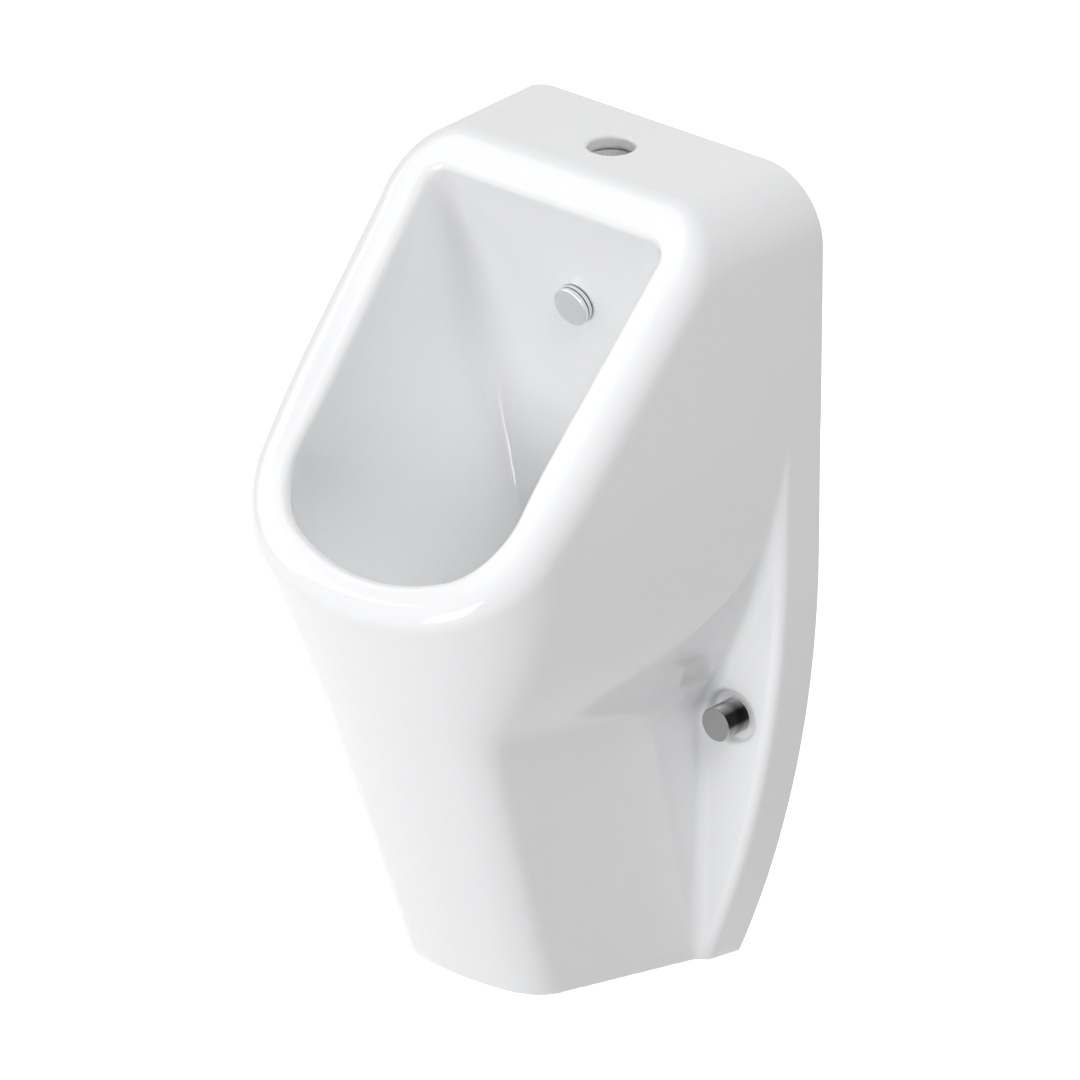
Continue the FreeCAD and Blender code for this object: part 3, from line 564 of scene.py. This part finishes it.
def cut_at_wall(obj):
    """Cut the surface off at the wall plane and close it with a flat, sharp-edged face."""
    shape = bmesh.new()
    shape.from_mesh(obj.data)
    whole = shape.verts[:] + shape.edges[:] + shape.faces[:]
    cut = bmesh.ops.bisect_plane(shape, geom=whole, plane_co=(0, 0, 0), plane_no=(0, 1, 0),
                                 clear_outer=True)
    rim = [e for e in cut["geom_cut"] if isinstance(e, bmesh.types.BMEdge)]
    filled = bmesh.ops.triangle_fill(shape, edges=rim, use_beauty=True, normal=(0, 1, 0))
    for face in [f for f in filled["geom"] if isinstance(f, bmesh.types.BMFace)]:
        face.smooth = False
    for edge in rim:
        edge.smooth = False
    shape.to_mesh(obj.data)
    shape.free()


# ---------------------------------------------------------------- materials
cloud_detail = 3.0
bump_fineness = 12
bump_height = 0.0002


def material(name, colour, roughness, metallic=0.0, bump=0.0, scale=60.0, vary=0.02,
             rough_vary=0.03):
    """A finish with a slight cloud in its colour and gloss and, if bump is given, a fine bump."""
    mat = bpy.data.materials.new(name)
    mat.use_nodes = True
    tree = mat.node_tree
    shader = tree.nodes["Principled BSDF"]
    shader.inputs["Metallic"].default_value = metallic
    place = tree.nodes.new("ShaderNodeTexCoord")
    cloud = tree.nodes.new("ShaderNodeTexNoise")
    cloud.inputs["Scale"].default_value = scale
    cloud.inputs["Detail"].default_value = cloud_detail
    tree.links.new(place.outputs["Object"], cloud.inputs["Vector"])
    tint = tree.nodes.new("ShaderNodeMix")
    tint.data_type = "RGBA"
    tint.inputs["A"].default_value = [c * (1 - vary) for c in colour] + [1]
    tint.inputs["B"].default_value = [min(1, c * (1 + vary)) for c in colour] + [1]
    tree.links.new(cloud.outputs["Fac"], tint.inputs["Factor"])
    tree.links.new(tint.outputs["Result"], shader.inputs["Base Color"])
    gloss = tree.nodes.new("ShaderNodeMapRange")
    gloss.inputs["To Min"].default_value = max(0.0, roughness - rough_vary)
    gloss.inputs["To Max"].default_value = roughness + rough_vary
    tree.links.new(cloud.outputs["Fac"], gloss.inputs["Value"])
    tree.links.new(gloss.outputs["Result"], shader.inputs["Roughness"])
    if bump:
        fine = tree.nodes.new("ShaderNodeTexNoise")
        fine.inputs["Scale"].default_value = scale * bump_fineness
        tree.links.new(place.outputs["Object"], fine.inputs["Vector"])
        relief = tree.nodes.new("ShaderNodeBump")
        relief.inputs["Strength"].default_value = bump
        relief.inputs["Distance"].default_value = bump_height
        tree.links.new(fine.outputs["Fac"], relief.inputs["Height"])
        tree.links.new(relief.outputs["Normal"], shader.inputs["Normal"])
    return mat


def maths(tree, operation, first, second=None):
    """One Math node; each of first and second is a socket or a number."""
    node = tree.nodes.new("ShaderNodeMath")
    node.operation = operation
    for place, value in enumerate((first, second)):
        if value is None:
            continue
        if isinstance(value, (int, float)):
            node.inputs[place].default_value = value
        else:
            tree.links.new(value, node.inputs[place])
    return node.outputs[0]


# painted reflection: tones of a cap's side by the way it faces, from straight down (0) over
# outward (0.5) to straight up (1)
cap_painted_reflection_tones = [(0.1, (0.42, 0.43, 0.43)), (0.36, (0.36, 0.36, 0.36)), (0.47, (0.26, 0.26, 0.26)),
             (0.55, (0.018, 0.018, 0.018)), (0.76, (0.02, 0.02, 0.02)),
             (0.84, (0.22, 0.22, 0.22)), (0.93, (0.42, 0.42, 0.42)), (1.0, (0.6, 0.6, 0.6))]
# painted reflection tone of a cap's flat front
cap_face_painted_reflection_tone = (0.46, 0.46, 0.46)
# where the facing's forward part is larger than this, it is the cap's flat front, which gets the
# painted reflection tone of the face
cap_face_painted_tone_from = 0.97


def painted_reflection_chrome():
    """Chrome with a painted reflection: each side of a cap gets, as its colour, the tone that it
    would mirror between dark flags.
    """
    mat = material("cap_painted_reflection_chrome", (0.5, 0.5, 0.5), 0.09, metallic=1.0, scale=50.0)
    tree = mat.node_tree
    shader = tree.nodes["Principled BSDF"]
    place = tree.nodes["Texture Coordinate"]
    facing = tree.nodes.new("ShaderNodeSeparateXYZ")
    tree.links.new(place.outputs["Normal"], facing.inputs[0])
    across = maths(tree, "ABSOLUTE", facing.outputs["X"])
    angle = maths(tree, "ARCTAN2", facing.outputs["Z"], across)
    turn = maths(tree, "DIVIDE", angle, math.pi)
    around = maths(tree, "ADD", turn, 0.5)
    # the ramp paints the reflection's tones by the way each side faces
    ramp = tree.nodes.new("ShaderNodeValToRGB")
    stops = ramp.color_ramp.elements
    stops[0].position, stops[1].position = cap_painted_reflection_tones[0][0], cap_painted_reflection_tones[-1][0]
    for position, _ in cap_painted_reflection_tones[1:-1]:
        stops.new(position)
    for stop, (_, tone) in zip(stops, cap_painted_reflection_tones):
        stop.color = (*tone, 1)
    tree.links.new(around, ramp.inputs["Fac"])
    # the flat front gets its own painted reflection tone
    forward = maths(tree, "MULTIPLY", facing.outputs["Y"], -1.0)
    front = maths(tree, "GREATER_THAN", forward, cap_face_painted_tone_from)
    tint = tree.nodes.new("ShaderNodeMix")
    tint.data_type = "RGBA"
    tint.inputs["B"].default_value = (*cap_face_painted_reflection_tone, 1)
    tree.links.new(front, tint.inputs["Factor"])
    tree.links.new(ramp.outputs["Color"], tint.inputs["A"])
    tree.links.new(tint.outputs["Result"], shader.inputs["Base Color"])
    return mat


glaze = material("white_glaze", (0.84, 0.843, 0.852), 0.08, bump=0.15, scale=9.0, vary=0.004,
                 rough_vary=0.02)
satin = material("satin_chrome", (0.86, 0.865, 0.87), 0.26, metallic=1.0, scale=60.0, vary=0.01)
# the caps' chrome, whose colour is a painted reflection set by the way each side faces
cap_painted_reflection_chrome = painted_reflection_chrome()
chrome = material("chrome_plate", (0.72, 0.73, 0.74), 0.07, metallic=1.0, scale=40.0, vary=0.01)
steel = material("stainless", (0.6, 0.61, 0.62), 0.25, metallic=1.0, scale=120.0, bump=0.15)
zinc = material("zinc_plate", (0.55, 0.57, 0.6), 0.3, metallic=1.0, scale=90.0, bump=0.1)
brass = material("brass", (0.62, 0.46, 0.2), 0.22, metallic=1.0, scale=80.0, bump=0.1)
white_plastic = material("white_plastic", (0.78, 0.78, 0.77), 0.38, scale=70.0, bump=0.15)
grey_plastic = material("grey_plastic", (0.3, 0.31, 0.32), 0.42, scale=70.0, bump=0.2)
black_rubber = material("black_rubber", (0.025, 0.025, 0.025), 0.6, scale=90.0, bump=0.3)
grey_rubber = material("grey_rubber", (0.4, 0.4, 0.4), 0.55, scale=90.0, bump=0.3)

finish_of = {"sanitary_ceramic": glaze, "chromed_metal": chrome, "stainless_steel": steel,
             "zinc_steel": zinc, "brass": brass, "white_plastic": white_plastic,
             "grey_plastic": grey_plastic, "rubber": black_rubber}
# the lip seal is lighter than other rubber, and the nozzle's ring is satin like its disc
own_finish = {"inlet_lip_seal": grey_rubber, "nozzle_body": satin}
for sub in frame["record"]["subparts"]:
    finish = own_finish.get(sub["node"], finish_of[sub["material_slot"]])
    finishes = frame["nodes"][sub["node"]].data.materials
    finishes.clear()
    finishes.append(finish)

# ---------------------------------------------------------------- ceramic
points, quads = ceramic_mesh()
body = new_object("ceramic_surface", points, quads)
cut_at_wall(body)
body.data.materials.append(glaze)
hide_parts("ceramic_body")
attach(body, "urinal")


# ---------------------------------------------------------------- turned pieces
def edge_arc(radius, depth, size, start, steps=8):
    """Quarter arc of a turned profile, about (radius, depth), from start degrees on."""
    angles = [math.radians(start + 90 * i / steps) for i in range(steps + 1)]
    return [(radius + size * math.cos(a), depth + size * math.sin(a)) for a in angles]


def turned(name, profile, place, axis, finish, sides=128):
    """A round piece from a profile of (radius, distance along axis), in mm."""
    axis = Vector(axis).normalized()
    right = Vector((1, 0, 0))
    up = axis.cross(right)
    points = []
    for i in range(sides):
        turn = 2 * math.pi * i / sides
        out = right * math.cos(turn) + up * math.sin(turn)
        points += [(Vector(place) + axis * along + out * radius)[:] for radius, along in profile]
    count = len(profile)
    quads = []
    for i in range(sides):
        after = (i + 1) % sides
        for j in range(count - 1):
            here, there = i * count + j, after * count + j
            quads.append((here, there, there + 1, here + 1))
    obj = new_object(name, points, np.array(quads))
    shape = bmesh.new()
    shape.from_mesh(obj.data)
    bmesh.ops.remove_doubles(shape, verts=shape.verts[:], dist=weld_distance * MM)
    bmesh.ops.recalc_face_normals(shape, faces=shape.faces[:])
    for edge in shape.edges:
        edge.smooth = edge.calc_face_angle(0.0) < math.radians(sharp_angle)
    shape.to_mesh(obj.data)
    shape.free()
    obj.data.materials.append(finish)
    return obj


def cap(side, node, body):
    """Snap-on cap over a wall fixing."""
    inner = cap_width / 2 - cap_wall
    outer = cap_width / 2
    flat = outer - cap_edge
    profile = [(0, 0), (flat - edge_run, 0)] + edge_arc(flat, cap_edge, cap_edge, -90)
    profile += [(outer, cap_edge + edge_run), (outer, cap_length), (inner, cap_length)]
    profile += [(inner, cap_wall), (0, cap_wall)]
    place = (side * fixing_spacing / 2, -cap_front, fixing_level)
    # the cap takes the chrome with the painted reflection
    obj = turned(node + "_turned", profile, place, (0, 1, 0), cap_painted_reflection_chrome)
    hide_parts(node)
    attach(obj, body)


cap(-1, "fixing_cap_left", "left_cap")
cap(1, "fixing_cap_right", "right_cap")


def nozzle_disc():
    """Round face of the spray nozzle with its stem, square to the bowl's back."""
    flat = nozzle_width / 2 - disc_edge
    profile = [(0, disc_front), (flat - edge_run, disc_front)]
    profile += edge_arc(flat, disc_front + disc_edge, disc_edge, -90)
    profile += edge_arc(flat, disc_back - disc_edge, disc_edge, 0)
    profile += [(flat - edge_run, disc_back), (stem_width / 2, disc_back)]
    profile += [(stem_width / 2, stem_end), (0, stem_end)]
    obj = turned("nozzle_face_turned", profile, (0, nozzle_wall_y, nozzle_level),
                 (0, math.cos(nozzle_lean), math.sin(nozzle_lean)), satin)
    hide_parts("nozzle_face")
    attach(obj, "urinal")


nozzle_disc()


# ---------------------------------------------------------------- stage, light and camera
# in metres and degrees
white = (1, 1, 1, 1)
ambient_strength = 0.12
backdrop_strength = 1.0
floor_size = 60.0
floor_level = -0.27
floor_tone = (0.8, 0.8, 0.8, 1)
floor_glow = 0.75

# soft lamps: name, degrees round from the front (+ to the right), degrees up, watts, mirrored
lamps = [("low_front", 0, -3, 102, True), ("right_high", 60, 55, 63, False),
         ("side_high", 90, 55, 23, False), ("left", -60, 25, 35, True),
         ("left_high", -60, 55, 19, True), ("behind", 180, 45, 34, False)]
lamp_size = 2.0
lamp_distance = 4.0
lit_point = Vector((0, -0.15, 0.35))

camera_azimuth = 41.3
camera_elevation = 25.43
camera_distance = 8.4325
camera_target = Vector((0, -0.15, 0.34))
sensor_width = 36.0
focal_length = 391.3
camera_shift = (0.0163, 0.0266)
camera_range = 200.0


def direction(azimuth, elevation):
    """Unit vector out from the object: degrees round from the front and degrees up."""
    turn = math.radians(azimuth)
    lift = math.radians(elevation)
    return Vector((math.sin(turn) * math.cos(lift), -math.cos(turn) * math.cos(lift),
                   math.sin(lift)))


def placed(name, data, place, back):
    """A lamp or camera at a place, with its back to the direction back."""
    obj = bpy.data.objects.new(name, data)
    bpy.context.scene.collection.objects.link(obj)
    obj.location = place
    obj.rotation_mode = "QUATERNION"
    obj.rotation_quaternion = (-back).to_track_quat("-Z", "Y")
    return obj


def area_light(name, away, power):
    """A square soft lamp in the direction away from the lit point."""
    lamp = bpy.data.lights.new(name, "AREA")
    lamp.size = lamp_size
    lamp.energy = power
    return placed(name, lamp, lit_point + away * lamp_distance, away)


def seen_by_camera(tree):
    """1 for camera, glossy and transmission rays."""
    path = tree.nodes.new("ShaderNodeLightPath").outputs
    direct = maths(tree, "MAXIMUM", path["Is Camera Ray"], path["Is Glossy Ray"])
    return maths(tree, "MAXIMUM", direct, path["Is Transmission Ray"])


def shader_node(tree, kind, colour, strength=None):
    """One plain shader of a colour, and of a strength where its kind has one."""
    node = tree.nodes.new(kind)
    node.inputs["Color"].default_value = colour
    if strength is not None:
        node.inputs["Strength"].default_value = strength
    return node.outputs[0]


def shown_and_cast(tree, shown, cast, output):
    """Join two shaders to an output: shown to the camera and mirrors, cast on everything else."""
    mix = tree.nodes.new("ShaderNodeMixShader")
    tree.links.new(seen_by_camera(tree), mix.inputs["Fac"])
    tree.links.new(cast, mix.inputs[1])
    tree.links.new(shown, mix.inputs[2])
    tree.links.new(mix.outputs[0], tree.nodes.new(output).inputs["Surface"])


world = bpy.data.worlds.new("studio")
bpy.context.scene.world = world
world.use_nodes = True
tree = world.node_tree
tree.nodes.clear()
ambient = shader_node(tree, "ShaderNodeBackground", white, ambient_strength)
backdrop = shader_node(tree, "ShaderNodeBackground", white, backdrop_strength)
shown_and_cast(tree, backdrop, ambient, "ShaderNodeOutputWorld")

for name, around, above, power, mirrored in lamps:
    lamp = area_light(name, direction(around, above), power)
    lamp.visible_glossy = mirrored

bpy.ops.mesh.primitive_grid_add(x_subdivisions=2, y_subdivisions=2, size=floor_size,
                                location=(0, 0, floor_level))
floor = bpy.context.object
floor.name = "floor"
pale = bpy.data.materials.new("pale_floor")
pale.use_nodes = True
tree = pale.node_tree
tree.nodes.clear()
matt = shader_node(tree, "ShaderNodeBsdfDiffuse", floor_tone)
glow = shader_node(tree, "ShaderNodeEmission", white, floor_glow)
lit = tree.nodes.new("ShaderNodeAddShader")
tree.links.new(matt, lit.inputs[0])
tree.links.new(glow, lit.inputs[1])
shown_and_cast(tree, lit.outputs[0], matt, "ShaderNodeOutputMaterial")
floor.data.materials.append(pale)

back = direction(camera_azimuth, camera_elevation)
lens = bpy.data.cameras.new("camera")
lens.sensor_width = sensor_width
lens.lens = focal_length
lens.shift_x, lens.shift_y = camera_shift
lens.clip_end = camera_range
camera = placed("camera", lens, camera_target + back * camera_distance, back)
bpy.context.scene.camera = camera

bpy.context.scene.view_settings.view_transform = "Standard"
